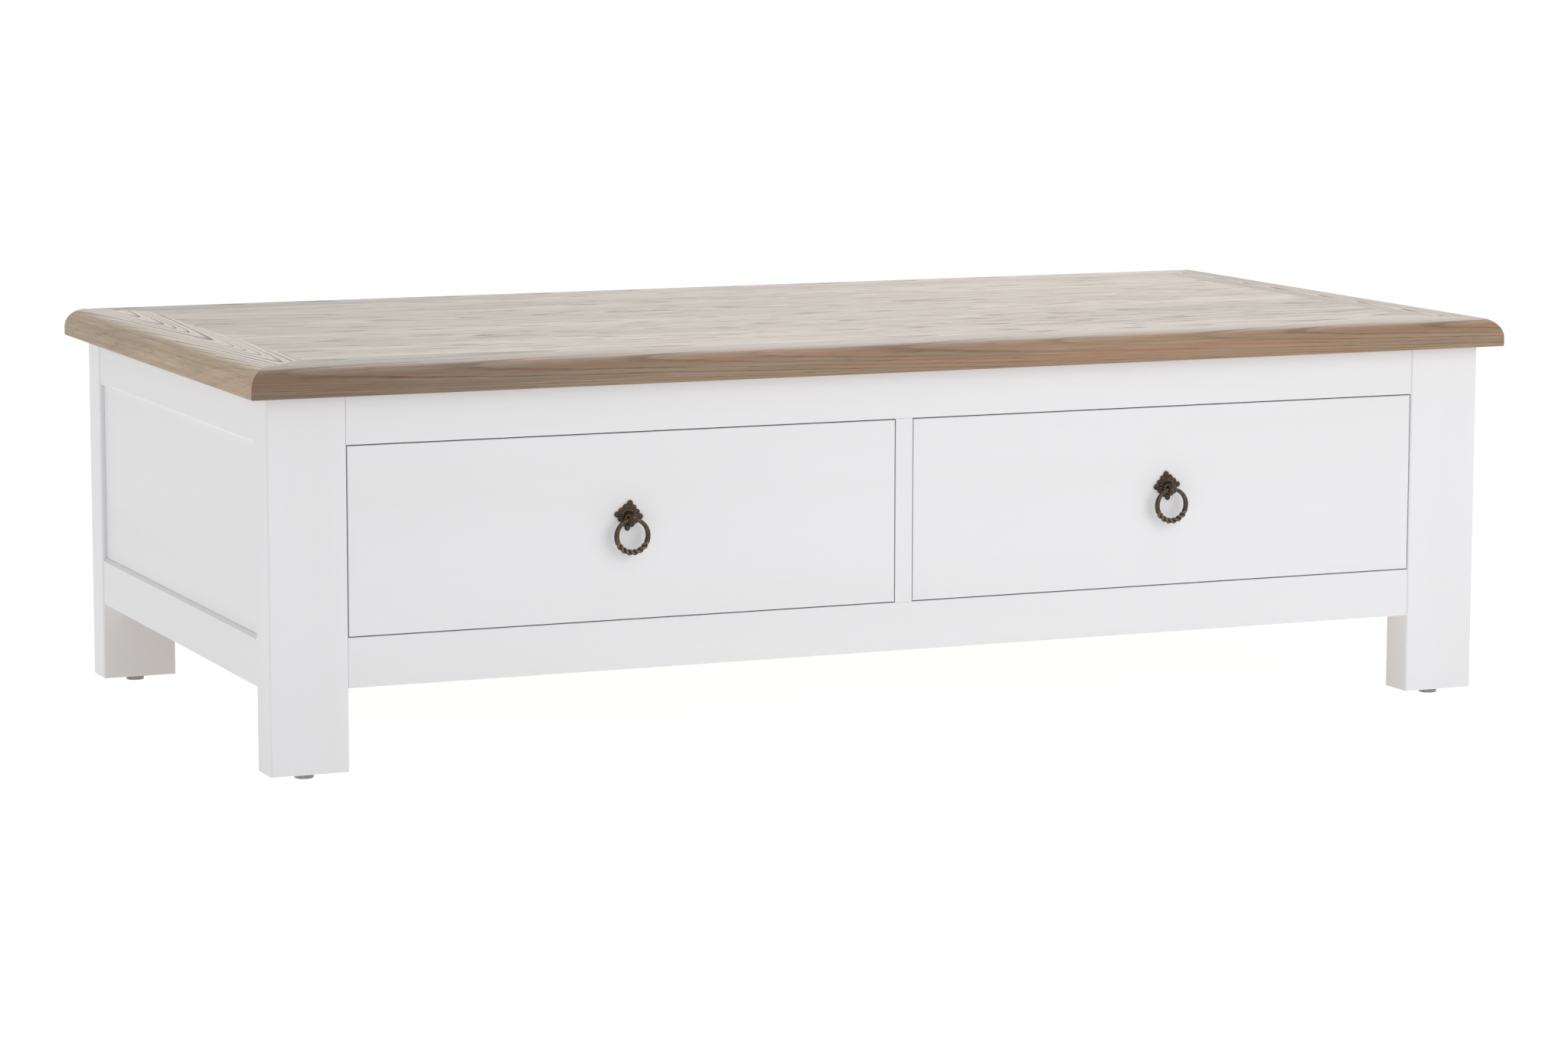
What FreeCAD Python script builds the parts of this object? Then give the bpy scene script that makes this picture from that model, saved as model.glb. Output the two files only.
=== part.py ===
import FreeCAD, Part
import math
import os

from FreeCAD import Vector

# Low coffee table with two drawers: a painted frame-and-panel case under an oak top with a mitred border.
# Millimetres. X runs along the table, the drawers open towards -Y and Z is up.
# The origin is on the floor, under the middle of the table.

# Whole table
table_length = 1350.0
table_depth = 680.0
table_height = 395.0

# Top
top_thickness = 29.0
top_overhang = 20.0
edge_round = 20.0
lower_edge_round = 1.5
border_width = 72.0
plank_count = 5
plank_thickness = 22.0
tongue_thickness = 7.0
tongue_length = 8.0
tongue_clearance = 0.2
spline_thickness = 6.0
spline_length = 40.0
spline_width = 24.0
spline_clearance = 0.1

# Legs and their glides
leg_width = 78.0
leg_depth = 42.0
leg_round = 2.5
glide_height = 6.0
glide_upper_diameter = 20.0
glide_foot_diameter = 18.0
glide_pin_diameter = 5.0
glide_pin_length = 15.0
glide_pin_clearance = 0.1

# Rails between the legs
rail_thickness = 22.0
rail_setback = 1.2
rail_arris = 0.8
floor_clearance = 86.0
bottom_rail_height = 48.5
top_rail_height = 48.0
tenon_thickness = 8.0
long_tenon_length = 28.0
side_tenon_length = 22.0
tenon_shoulder = 10.0
tenon_clearance = 0.1

# Panels of the sides and the back
panel_thickness = 8.0
panel_recess = 4.0
panel_bevel = 3.0
panel_groove_depth = 7.0
panel_clearance = 0.1

# Centre partition, bearers and runners
partition_thickness = 18.0
partition_overlap = 25.0
bearer_thickness = 22.0
bearer_height = 80.0
bearer_tenon_length = 12.0
runner_height = 14.0
runner_end_inset = 2.0
runner_screw_inset = 45.0

# Drawers
drawer_gap = 1.0
drawer_front_thickness = 20.0
drawer_front_arris = 0.8
drawer_side_thickness = 15.0
drawer_side_lift = 6.0
drawer_side_drop = 22.0
drawer_back_space = 30.0
drawer_back_thickness = 14.0
drawer_back_inset = 10.0
drawer_housing_depth = 4.0
drawer_bottom_thickness = 6.0
drawer_bottom_lift = 10.0
drawer_bottom_groove = 6.0
drawer_bottom_clearance = 0.1
runner_groove_depth = 7.0
runner_side_clearance = 0.4
runner_top_clearance = 0.2
runner_bottom_clearance = 0.8
runner_stop_clearance = 0.5
tail_count = 4
tail_length = 12.0
tail_slope = 1.0 / 7.0
pin_width = 9.0

# Ring pulls
pull_rise = 8.0
plate_rise = 2.5
plate_half_diagonal = 12.0
plate_thickness = 2.0
tip_lobe_radius = 3.0
side_lobe_radius = 2.7
side_lobe_count = 2
boss_foot_radius = 6.0
boss_face_radius = 4.0
boss_height = 3.0
left_plate_turn = 7.0
right_plate_turn = -4.5
stem_radius = 2.0
stem_clearance = 0.15
stem_end = 2.0
collar_radius = 3.2
collar_thickness = 1.3
eye_ball_radius = 5.2
ring_bore_clearance = 0.8
ring_wire_radius = 2.3
ring_rope_radius = 2.9
ring_rope_angle = 140.0
ring_centreline_radius = 16.2
nut_width = 7.0
nut_thickness = 3.2

# Blocks and screws
corner_block_leg = 70.0
fixing_block_length = 60.0
fixing_block_depth = 28.0
fixing_block_height = 35.0
fixing_screw_from_rail = 10.0
fixing_screw_from_leg = 25.0
fixing_screw_bite = 16.0
fixing_head_radius = 4.5
fixing_head_height = 2.6
screw_radius = 2.0
screw_clearance = 0.1
runner_screw_length = 16.0
runner_head_radius = 4.0
runner_head_depth = 2.4

# Levels and faces that follow from the sizes above
half_length = table_length / 2
half_depth = table_depth / 2
top_underside = table_height - top_thickness
top_middle_z = top_underside + top_thickness / 2
body_half_x = half_length - top_overhang
body_half_y = half_depth - top_overhang
leg_inner_x = body_half_x - leg_width
leg_inner_y = body_half_y - leg_depth
rail_outer_x = body_half_x - rail_setback
rail_outer_y = body_half_y - rail_setback
rail_inner_x = rail_outer_x - rail_thickness
rail_inner_y = rail_outer_y - rail_thickness
bottom_rail_top = floor_clearance + bottom_rail_height
top_rail_bottom = top_underside - top_rail_height
bottom_rail_z = (floor_clearance, bottom_rail_top)
top_rail_z = (top_rail_bottom, top_underside)
opening_z = (bottom_rail_top, top_rail_bottom)
field_half_x = half_length - border_width
field_half_y = half_depth - border_width
plank_middle_z = table_height - plank_thickness / 2
tongue_z = (plank_middle_z - tongue_thickness / 2, plank_middle_z + tongue_thickness / 2)

opening_width = leg_inner_x - partition_thickness / 2
opening_middle_x = (leg_inner_x + partition_thickness / 2) / 2
drawer_half_width = opening_width / 2 - drawer_gap
drawer_face_y = -rail_outer_y
drawer_inside_y = drawer_face_y + drawer_front_thickness
drawer_rear_y = rail_inner_y - drawer_back_space
drawer_side_z = (bottom_rail_top + drawer_side_lift, top_rail_bottom - drawer_side_drop)
drawer_bottom_low = drawer_side_z[0] + drawer_bottom_lift
drawer_bottom_z = (drawer_bottom_low, drawer_bottom_low + drawer_bottom_thickness)
drawer_back_y = (drawer_rear_y - drawer_back_inset - drawer_back_thickness, drawer_rear_y - drawer_back_inset)

runner_middle_z = (drawer_side_z[0] + drawer_side_z[1]) / 2
runner_z = (runner_middle_z - runner_height / 2, runner_middle_z + runner_height / 2)
runner_y = (runner_end_inset - leg_inner_y, leg_inner_y - runner_end_inset)
runner_width = drawer_gap + runner_groove_depth - runner_side_clearance
runner_screw_places = (runner_y[0] + runner_screw_inset, 0.0, runner_y[1] - runner_screw_inset)
bearer_z = (runner_middle_z - bearer_height / 2, runner_middle_z + bearer_height / 2)

pull_z = (bottom_rail_top + top_rail_bottom) / 2 + pull_rise
boss_face_y = drawer_face_y - plate_thickness - boss_height
collar_face_y = boss_face_y - collar_thickness
eye_y = collar_face_y - eye_ball_radius

fixing_block_z = (top_underside - fixing_block_height, top_underside)

UP = Vector(0, 0, 1)
FORWARD = Vector(0, -1, 0)
LEFT, RIGHT = -1, 1
FRONT, BACK = -1, 1
SIDES = (("left", LEFT), ("right", RIGHT))
ENDS = (LEFT, RIGHT)


def span(sign, near, far):
    """Low and high value of a stretch from near to far, on the negative or positive side of an axis."""
    return tuple(sorted((sign * near, sign * far)))


def grown(stretch, amount):
    """Stretch made longer by an amount at both ends."""
    return (stretch[0] - amount, stretch[1] + amount)


def shrunk(stretch, amount):
    """Stretch made shorter by an amount at both ends."""
    return grown(stretch, -amount)


def around(middle, width):
    """Stretch of a width about its middle."""
    return (middle - width / 2, middle + width / 2)


def block(x, y, z):
    """Box with a low and a high value on each axis."""
    return Part.makeBox(x[1] - x[0], y[1] - y[0], z[1] - z[0], Vector(x[0], y[0], z[0]))


def without(shape, cutters):
    """Shape with every cutter taken out of it, as one solid."""
    return shape.cut(cutters).removeSplitter().Solids[0]


def joined(shape, additions):
    """Shape and its additions as one solid."""
    return shape.fuse(additions).removeSplitter().Solids[0]


def runs_along(edge, axis):
    """Whether a straight edge lies along an axis."""
    ends = [vertex.Point for vertex in edge.Vertexes]
    return len(ends) == 2 and (ends[1] - ends[0]).normalize().cross(axis).Length < 1e-6


def prism(points, height):
    """Straight prism on a closed outline."""
    outline = Part.makePolygon(points + points[:1])
    return Part.Face(outline).extrude(height)


# Tenons stay clear of the panel grooves, so their panel side has a deeper shoulder.
panel_side_shoulder = panel_groove_depth + tenon_shoulder / 2
tenon_spans = (
    (floor_clearance + tenon_shoulder, bottom_rail_top - panel_side_shoulder),
    (top_rail_bottom + panel_side_shoulder, top_underside - tenon_shoulder),
)
long_tenon_y = around((rail_outer_y + rail_inner_y) / 2, tenon_thickness)
side_tenon_x = around((rail_outer_x + rail_inner_x) / 2, tenon_thickness)
bearer_tenon_x = around(leg_inner_x + bearer_thickness / 2, tenon_thickness)
panel_z = grown(opening_z, panel_groove_depth)
panel_x = (rail_outer_x - panel_recess - panel_thickness, rail_outer_x - panel_recess)
panel_y = (rail_outer_y - panel_recess - panel_thickness, rail_outer_y - panel_recess)


def leg(side, end):
    """Leg with rounded corners, mortises for rails and bearer, panel grooves and a hole for its glide."""
    shape = block(
        span(side, leg_inner_x, body_half_x),
        span(end, leg_inner_y, body_half_y),
        (glide_height, top_underside),
    )
    shape = shape.makeFillet(leg_round, [edge for edge in shape.Edges if runs_along(edge, UP)])
    cuts = []
    for tenon_z in tenon_spans:
        cuts.append(block(
            span(side, leg_inner_x - leg_round, leg_inner_x + long_tenon_length + tenon_clearance),
            span(end, *grown(long_tenon_y, tenon_clearance)),
            grown(tenon_z, tenon_clearance),
        ))
        cuts.append(block(
            span(side, *grown(side_tenon_x, tenon_clearance)),
            span(end, leg_inner_y - leg_round, leg_inner_y + side_tenon_length + tenon_clearance),
            grown(tenon_z, tenon_clearance),
        ))
    cuts.append(block(
        span(side, *grown(panel_x, panel_clearance)),
        span(end, leg_inner_y - leg_round, leg_inner_y + panel_groove_depth),
        panel_z,
    ))
    if end == BACK:
        cuts.append(block(
            span(side, leg_inner_x - leg_round, leg_inner_x + panel_groove_depth),
            grown(panel_y, panel_clearance),
            panel_z,
        ))
    cuts.append(block(
        span(side, *grown(bearer_tenon_x, tenon_clearance)),
        span(end, leg_inner_y - leg_round, leg_inner_y + bearer_tenon_length + tenon_clearance),
        grown(shrunk(bearer_z, tenon_shoulder), tenon_clearance),
    ))
    cuts.append(Part.makeCylinder(
        glide_pin_diameter / 2 + glide_pin_clearance,
        glide_pin_length + glide_pin_clearance,
        Vector(*leg_middle(side, end), glide_height),
    ))
    return without(shape, cuts)


def leg_middle(side, end):
    """Middle of a leg in plan."""
    return (side * (leg_inner_x + body_half_x) / 2, end * (leg_inner_y + body_half_y) / 2)


def glide(side, end):
    """Tapered glide with the pin that is driven into the leg."""
    x, y = leg_middle(side, end)
    foot = Part.makeCone(glide_foot_diameter / 2, glide_upper_diameter / 2, glide_height, Vector(x, y, 0))
    pin = Part.makeCylinder(glide_pin_diameter / 2, glide_pin_length, Vector(x, y, glide_height))
    return joined(foot, [pin])


def long_rail(end, rail_z, tenon_z):
    """Front or back rail with a tenon at each end; a back rail is grooved for its panel."""
    shape = block((-leg_inner_x, leg_inner_x), span(end, rail_inner_y, rail_outer_y), rail_z)
    along = [edge for edge in shape.Edges if runs_along(edge, Vector(1, 0, 0))]
    shape = shape.makeFillet(rail_arris, along)
    tenons = []
    for side in ENDS:
        tenon_x = span(side, leg_inner_x, leg_inner_x + long_tenon_length)
        tenons.append(block(tenon_x, span(end, *long_tenon_y), tenon_z))
    shape = joined(shape, tenons)
    if end == BACK:
        groove = block((-leg_inner_x, leg_inner_x), grown(panel_y, panel_clearance), panel_z)
        shape = without(shape, [groove])
    return shape


def side_rail(side, rail_z, tenon_z):
    """Side rail with tenons, a panel groove and a bevel along the panel."""
    shape = block(span(side, rail_inner_x, rail_outer_x), (-leg_inner_y, leg_inner_y), rail_z)
    panel_edge_z = rail_z[1] if rail_z == bottom_rail_z else rail_z[0]

    def borders_panel(edge):
        middle = edge.BoundBox.Center
        on_face = abs(middle.x - side * rail_outer_x) < 1e-6
        return runs_along(edge, Vector(0, 1, 0)) and on_face and abs(middle.z - panel_edge_z) < 1e-6

    shape = shape.makeChamfer(panel_bevel, [edge for edge in shape.Edges if borders_panel(edge)])
    tenons = []
    for end in (FRONT, BACK):
        tenon_y = span(end, leg_inner_y, leg_inner_y + side_tenon_length)
        tenons.append(block(span(side, *side_tenon_x), tenon_y, tenon_z))
    shape = joined(shape, tenons)
    groove = block(span(side, *grown(panel_x, panel_clearance)), (-leg_inner_y, leg_inner_y), panel_z)
    return without(shape, [groove])


def side_panel(side):
    """Flat side panel held in grooves all round."""
    panel_depth = leg_inner_y + panel_groove_depth - panel_clearance
    return block(span(side, *panel_x), (-panel_depth, panel_depth), shrunk(panel_z, panel_clearance))


def back_panel():
    """Flat back panel held in grooves all round."""
    panel_half_length = leg_inner_x + panel_groove_depth - panel_clearance
    return block((-panel_half_length, panel_half_length), panel_y, shrunk(panel_z, panel_clearance))


def screw_shape(face, into, head_radius, head_depth, radius, length):
    """Countersunk screw, or its hole, from the face of its head along a direction."""
    head = Part.makeCone(head_radius, radius, head_depth, face, into)
    shank = Part.makeCylinder(radius, length, face, into)
    return joined(head, [shank])


def runner_screw(face_x, inward, y, clearance):
    """Countersunk screw through a runner into what carries it; a clearance makes its hole."""
    face = Vector(face_x + inward * runner_width, y, runner_middle_z)
    return screw_shape(
        face,
        Vector(-inward, 0, 0),
        runner_head_radius + clearance,
        runner_head_depth + clearance,
        screw_radius + clearance,
        runner_screw_length + clearance,
    )


def runner_screws(face_x, inward, clearance):
    """All screws of one runner, or their holes."""
    return [runner_screw(face_x, inward, y, clearance) for y in runner_screw_places]


def centre_partition():
    """Board between the drawers: its front edge shows between the rails and its body laps behind them."""
    x = around(0.0, partition_thickness)
    divider = block(x, (-rail_outer_y, -rail_inner_y), opening_z)
    body = block(x, (-rail_inner_y, rail_inner_y), grown(opening_z, partition_overlap))
    holes = []
    for side in ENDS:
        holes += runner_screws(side * partition_thickness / 2, side, screw_clearance)
    return without(joined(divider, [body]), holes)


def bearer(side):
    """Rail between front and back leg, flush with the drawer opening, that carries a runner."""
    bearer_x = span(side, leg_inner_x, leg_inner_x + bearer_thickness)
    shape = block(bearer_x, (-leg_inner_y, leg_inner_y), bearer_z)
    tenons = []
    for end in (FRONT, BACK):
        tenon_y = span(end, leg_inner_y, leg_inner_y + bearer_tenon_length)
        tenons.append(block(span(side, *bearer_tenon_x), tenon_y, shrunk(bearer_z, tenon_shoulder)))
    return without(joined(shape, tenons), runner_screws(side * leg_inner_x, -side, screw_clearance))


def runner(face_x, inward):
    """Hardwood strip that runs in the groove of a drawer side."""
    x = tuple(sorted((face_x, face_x + inward * runner_width)))
    return without(block(x, runner_y, runner_z), runner_screws(face_x, inward, screw_clearance))


def fixing_places():
    """Screws that hold the top, one in each block: places in plan."""
    near_leg = leg_inner_x - fixing_screw_from_leg
    from_rail = rail_inner_y - fixing_screw_from_rail
    return [(x, end * from_rail) for end in (FRONT, BACK)
            for x in (-near_leg, -opening_middle_x, opening_middle_x, near_leg)]


def fixing_screw(x, y, clearance):
    """Pan-head screw up through a block into the border of the top; a clearance makes its hole."""
    length = fixing_block_height + fixing_screw_bite + clearance
    return Part.makeCylinder(screw_radius + clearance, length, Vector(x, y, fixing_block_z[0]))


def top_fixing_screws():
    """All screws that hold the top."""
    screws = []
    for x, y in fixing_places():
        head_base = Vector(x, y, fixing_block_z[0] - fixing_head_height)
        head = Part.makeCylinder(fixing_head_radius, fixing_head_height, head_base)
        screws.append(joined(head, [fixing_screw(x, y, 0.0)]))
    return Part.makeCompound(screws)


def fixing_holes():
    """Holes of all screws that hold the top."""
    return [fixing_screw(x, y, screw_clearance) for x, y in fixing_places()]


def corner_blocks():
    """Triangular blocks in the corners of the case, glued to leg and rail."""
    blocks = []
    for side in ENDS:
        for end in (FRONT, BACK):
            x = side * leg_inner_x
            y = end * rail_inner_y
            low = fixing_block_z[0]
            corner = Vector(x, y, low)
            along_rail = Vector(x - side * corner_block_leg, y, low)
            along_side = Vector(x, y - end * corner_block_leg, low)
            wedge = prism([corner, along_rail, along_side], UP * fixing_block_height)
            blocks.append(without(wedge, fixing_holes()))
    return Part.makeCompound(blocks)


def top_fixing_blocks():
    """Straight blocks against the long rails, over the middle of each drawer."""
    blocks = []
    for side in ENDS:
        for end in (FRONT, BACK):
            x = around(side * opening_middle_x, fixing_block_length)
            y = span(end, rail_inner_y - fixing_block_depth, rail_inner_y)
            blocks.append(without(block(x, y, fixing_block_z), fixing_holes()))
    return Part.makeCompound(blocks)


def mitre_spline(side, end, clearance):
    """Loose spline across the mitre of one corner of the top, or its slot."""
    thickness = spline_thickness + 2 * clearance
    length = spline_length + 2 * clearance
    width = spline_width + 2 * clearance
    plate = block(around(0.0, length), around(0.0, width), around(0.0, thickness))
    plate.rotate(Vector(0, 0, 0), UP, 45.0 * side * end)
    middle = border_width / 2
    plate.translate(Vector(side * (half_length - middle), end * (half_depth - middle), top_middle_z))
    return plate


def mitre_splines(clearance):
    """Splines of all four corners, or their slots."""
    return [mitre_spline(side, end, clearance) for side in ENDS for end in (FRONT, BACK)]


def border_profile(place):
    """Face of the border's section; place turns distance from the outer edge and height into a point."""
    flat_top = table_height - edge_round
    bulge = edge_round * math.sqrt(0.5)
    lower_bulge = lower_edge_round * (1.0 - math.sqrt(0.5))
    inner_top = place(border_width, table_height)
    round_end = place(edge_round, table_height)
    round_middle = place(edge_round - bulge, flat_top + bulge)
    round_start = place(0.0, flat_top)
    lower_start = place(0.0, top_underside + lower_edge_round)
    lower_middle = place(lower_bulge, top_underside + lower_bulge)
    lower_end = place(lower_edge_round, top_underside)
    inner_low = place(border_width, top_underside)
    edges = [
        Part.LineSegment(inner_top, round_end).toShape(),
        Part.Arc(round_end, round_middle, round_start).toShape(),
        Part.LineSegment(round_start, lower_start).toShape(),
        Part.Arc(lower_start, lower_middle, lower_end).toShape(),
        Part.LineSegment(lower_end, inner_low).toShape(),
        Part.LineSegment(inner_low, inner_top).toShape(),
    ]
    return Part.Face(Part.Wire(edges))


def mitred(board, outer_half, inner_half, place):
    """Board with a mitre at both ends; place turns run and distance from the edge into a point."""
    corners = [
        place(-outer_half, 0.0),
        place(outer_half, 0.0),
        place(inner_half, border_width),
        place(-inner_half, border_width),
    ]
    return board.common(prism(corners, UP * top_thickness)).Solids[0]


def long_border(end):
    """Front or back board of the top's border."""
    def in_section(distance, height):
        return Vector(-half_length, end * (half_depth - distance), height)

    def in_plan(run, distance):
        return Vector(run, end * (half_depth - distance), top_underside)

    board = border_profile(in_section).extrude(Vector(table_length, 0, 0))
    board = mitred(board, half_length, field_half_x, in_plan)
    if end == FRONT:
        tongue_y = span(end, field_half_y, field_half_y - tongue_length)
        board = joined(board, [block((-field_half_x, field_half_x), tongue_y, tongue_z)])
        return without(board, mitre_splines(spline_clearance) + fixing_holes())
    groove_y = (field_half_y, field_half_y + tongue_length + tongue_clearance)
    groove = block((-field_half_x, field_half_x), groove_y, grown(tongue_z, tongue_clearance))
    return without(board, mitre_splines(spline_clearance) + fixing_holes() + [groove])


def end_border(side):
    """Left or right board of the top's border, grooved for the ends of the planks."""
    def in_section(distance, height):
        return Vector(side * (half_length - distance), -half_depth, height)

    def in_plan(run, distance):
        return Vector(side * (half_length - distance), run, top_underside)

    board = border_profile(in_section).extrude(Vector(0, table_depth, 0))
    board = mitred(board, half_depth, field_half_y, in_plan)
    groove_x = span(side, field_half_x, field_half_x + tongue_length + tongue_clearance)
    groove = block(groove_x, (-field_half_y, field_half_y), grown(tongue_z, tongue_clearance))
    return without(board, mitre_splines(spline_clearance) + [groove])


def plank(number):
    """Board of the top's field: a groove at its front, a tongue at its back and at both ends."""
    width = 2 * field_half_y / plank_count
    front = number * width - field_half_y
    back = front + width
    z = (table_height - plank_thickness, table_height)
    shape = block((-field_half_x, field_half_x), (front, back), z)
    tongues = [block((-field_half_x, field_half_x), (back, back + tongue_length), tongue_z)]
    for side in ENDS:
        tongues.append(block(span(side, field_half_x, field_half_x + tongue_length), (front, back), tongue_z))
    groove = block(
        (-field_half_x - tongue_length, field_half_x + tongue_length),
        (front, front + tongue_length + tongue_clearance),
        grown(tongue_z, tongue_clearance),
    )
    return without(joined(shape, tongues), [groove])


def drawer_tails(middle_x, end):
    """Dovetails on the front end of a drawer side, reaching into the drawer front."""
    outer = middle_x + end * drawer_half_width
    inner = outer - end * drawer_side_thickness
    pitch = (drawer_side_z[1] - drawer_side_z[0]) / tail_count
    tip_half = (pitch - pin_width) / 2
    root_half = tip_half - tail_length * tail_slope
    tip_y = drawer_inside_y - tail_length
    tails = []
    for number in range(tail_count):
        middle = drawer_side_z[0] + (number + 0.5) * pitch
        points = [
            Vector(outer, drawer_inside_y, middle - root_half),
            Vector(outer, tip_y, middle - tip_half),
            Vector(outer, tip_y, middle + tip_half),
            Vector(outer, drawer_inside_y, middle + root_half),
        ]
        tails.append(prism(points, Vector(inner - outer, 0, 0)))
    return tails


def drawer_front(middle_x):
    """Drawer front with softened face edges, sockets for the tails, a bottom groove and the pull's hole."""
    x = (middle_x - drawer_half_width, middle_x + drawer_half_width)
    shape = block(x, (drawer_face_y, drawer_inside_y), shrunk(opening_z, drawer_gap))
    face_edges = [edge for edge in shape.Edges if abs(edge.BoundBox.YMax - drawer_face_y) < 1e-6]
    shape = shape.makeFillet(drawer_front_arris, face_edges)
    cuts = drawer_tails(middle_x, LEFT) + drawer_tails(middle_x, RIGHT)
    cuts.append(block(
        shrunk(x, drawer_side_thickness),
        (drawer_inside_y - drawer_bottom_groove, drawer_inside_y),
        grown(drawer_bottom_z, drawer_bottom_clearance),
    ))
    cuts.append(Part.makeCylinder(
        stem_radius + stem_clearance,
        drawer_front_thickness,
        Vector(middle_x, drawer_inside_y, pull_z),
        FORWARD,
    ))
    return without(shape, cuts)


def drawer_side(middle_x, end):
    """Drawer side with tails, a groove for its runner, one for the bottom and a housing for the back."""
    outer = middle_x + end * drawer_half_width
    inner = outer - end * drawer_side_thickness
    shape = block(tuple(sorted((outer, inner))), (drawer_inside_y, drawer_rear_y), drawer_side_z)
    shape = joined(shape, drawer_tails(middle_x, end))
    runner_groove = block(
        tuple(sorted((outer, outer - end * runner_groove_depth))),
        (runner_y[0] - runner_stop_clearance, drawer_rear_y),
        (runner_z[0] - runner_bottom_clearance, runner_z[1] + runner_top_clearance),
    )
    bottom_groove = block(
        tuple(sorted((inner, inner + end * drawer_bottom_groove))),
        (drawer_inside_y, drawer_rear_y),
        grown(drawer_bottom_z, drawer_bottom_clearance),
    )
    housing = block(
        tuple(sorted((inner, inner + end * drawer_housing_depth))),
        drawer_back_y,
        (drawer_bottom_z[1], drawer_side_z[1]),
    )
    return without(shape, [runner_groove, bottom_groove, housing])


def drawer_back(middle_x):
    """Drawer back, housed in both sides and standing on the bottom."""
    half = drawer_half_width - drawer_side_thickness + drawer_housing_depth
    return block((middle_x - half, middle_x + half), drawer_back_y, (drawer_bottom_z[1], drawer_side_z[1]))


def drawer_bottom(middle_x):
    """Thin bottom in the grooves of the front and the sides."""
    clear_width = 2 * (drawer_half_width - drawer_side_thickness)
    reach = drawer_bottom_groove - drawer_bottom_clearance
    clear_x = around(middle_x, clear_width)
    panel = block(grown(clear_x, reach), (drawer_inside_y, drawer_back_y[1]), drawer_bottom_z)
    front_lip = block(clear_x, (drawer_inside_y - reach, drawer_inside_y), drawer_bottom_z)
    return joined(panel, [front_lip])


def pull_plate(middle_x, turn):
    """Diamond backplate with lobes round its edge and a raised boss, drilled for the eye's stem."""
    stem_place = Vector(middle_x, drawer_face_y, pull_z)
    middle = stem_place + UP * plate_rise
    corners = [Vector(0, 0, 1), Vector(1, 0, 0), Vector(0, 0, -1), Vector(-1, 0, 0)]
    tips = [middle + corner * plate_half_diagonal for corner in corners]
    shape = prism(tips, FORWARD * plate_thickness)
    lobes = []
    for tip, next_tip in zip(tips, tips[1:] + tips[:1]):
        lobes.append(Part.makeCylinder(tip_lobe_radius, plate_thickness, tip, FORWARD))
        for number in range(side_lobe_count):
            share = (number + 1) / (side_lobe_count + 1)
            place = tip + (next_tip - tip) * share
            lobes.append(Part.makeCylinder(side_lobe_radius, plate_thickness, place, FORWARD))
    shape = joined(shape, lobes)
    shape.rotate(stem_place, Vector(0, 1, 0), turn)
    boss_foot = stem_place + FORWARD * plate_thickness
    boss = Part.makeCone(boss_foot_radius, boss_face_radius, boss_height, boss_foot, FORWARD)
    depth = plate_thickness + boss_height
    stem_hole = Part.makeCylinder(stem_radius + stem_clearance, depth, stem_place, FORWARD)
    return without(joined(shape, [boss]), [stem_hole])


def pull_eye(middle_x):
    """Eye bolt: a ball drilled for the ring, a collar on the boss and a stem through the drawer front."""
    ball = Part.makeSphere(eye_ball_radius, Vector(middle_x, eye_y, pull_z))
    collar_foot = Vector(middle_x, boss_face_y, pull_z)
    collar = Part.makeCylinder(collar_radius, boss_face_y - eye_y, collar_foot, FORWARD)
    stem_length = drawer_inside_y + nut_thickness + stem_end - boss_face_y
    stem = Part.makeCylinder(stem_radius, stem_length, collar_foot, Vector(0, 1, 0))
    bore_start = Vector(middle_x - eye_ball_radius, eye_y, pull_z)
    bore_radius = ring_wire_radius + ring_bore_clearance
    bore = Part.makeCylinder(bore_radius, 2 * eye_ball_radius, bore_start, Vector(1, 0, 0))
    return without(joined(ball, [collar, stem]), [bore])


def pull_nut(middle_x):
    """Hexagon nut that holds the eye bolt behind the drawer front."""
    corner_radius = nut_width / math.sqrt(3.0)
    points = []
    for number in range(6):
        angle = math.radians(60.0 * number)
        x = middle_x + corner_radius * math.cos(angle)
        points.append(Vector(x, drawer_inside_y, pull_z + corner_radius * math.sin(angle)))
    shape = prism(points, Vector(0, nut_thickness, 0))
    start = Vector(middle_x, drawer_inside_y, pull_z)
    bore = Part.makeCylinder(stem_radius + stem_clearance, nut_thickness, start, Vector(0, 1, 0))
    return without(shape, [bore])


def pull_ring(middle_x):
    """Ring that hangs in the eye's bore, thicker along its lower rope-twisted stretch."""
    centre = Vector(middle_x, eye_y, pull_z - ring_centreline_radius)
    ring = Part.makeTorus(ring_centreline_radius, ring_wire_radius, centre, Vector(0, 1, 0))
    section_centre = centre + Vector(0, 0, -ring_centreline_radius)
    section = Part.Face(Part.Wire(Part.makeCircle(ring_rope_radius, section_centre, Vector(1, 0, 0))))
    section.rotate(centre, Vector(0, 1, 0), -ring_rope_angle / 2)
    rope = section.revolve(centre, Vector(0, 1, 0), ring_rope_angle)
    return joined(ring, [rope])


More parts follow.
